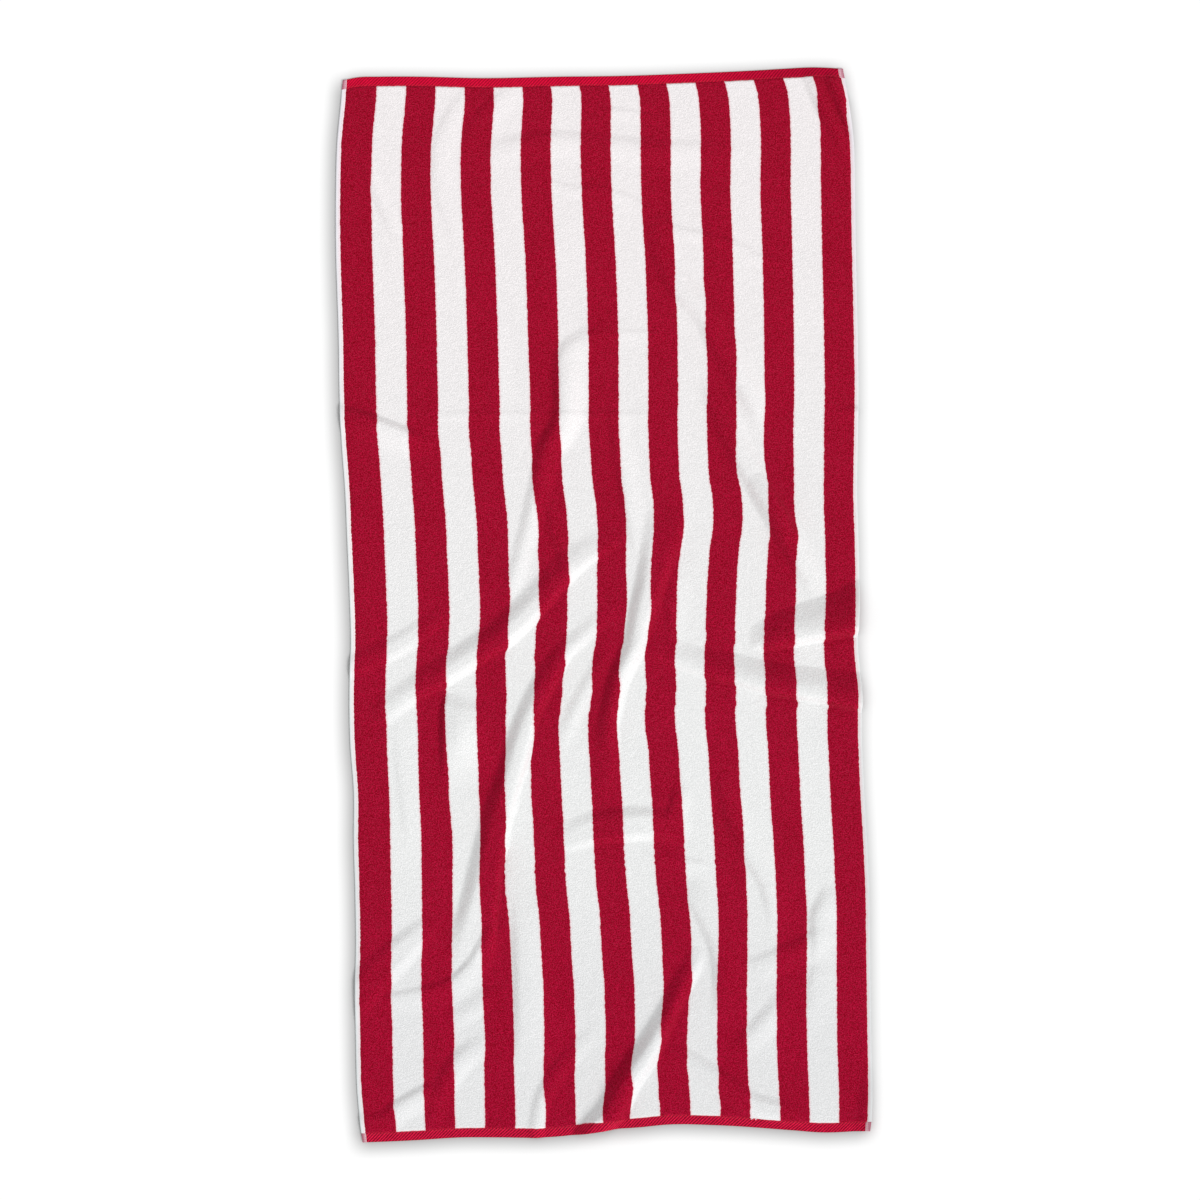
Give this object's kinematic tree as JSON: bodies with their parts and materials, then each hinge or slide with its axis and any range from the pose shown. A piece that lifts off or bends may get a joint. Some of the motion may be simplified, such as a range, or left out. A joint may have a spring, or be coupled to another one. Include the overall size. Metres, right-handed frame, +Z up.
{
  "type": "beach towel",
  "caption": "Striped cotton terry beach towel spread out flat on its back, lightly rumpled, with soft folds and turned hems.",
  "frame": {"origin": "centre of the towel's plan, on the surface it lies on", "axes": "+Z up out of the pile, Y along the towel's length and its stripes, X across them"},
  "size_m": [0.7511, 1.5021, 0.0185],
  "materials": {
    "red_terry": "soft cotton terry pile, matt, deep red",
    "white_terry": "soft cotton terry pile, matt, white",
    "red_twill": "flat cotton twill of the end hems, matt, bright red",
    "white_hem": "turned side hems, matt, white",
    "sewing_thread": "cotton sewing thread, matt, faded red"
  },
  "bodies": {
    "root": {"towel": "red_terry"}
  },
  "joints": []
}
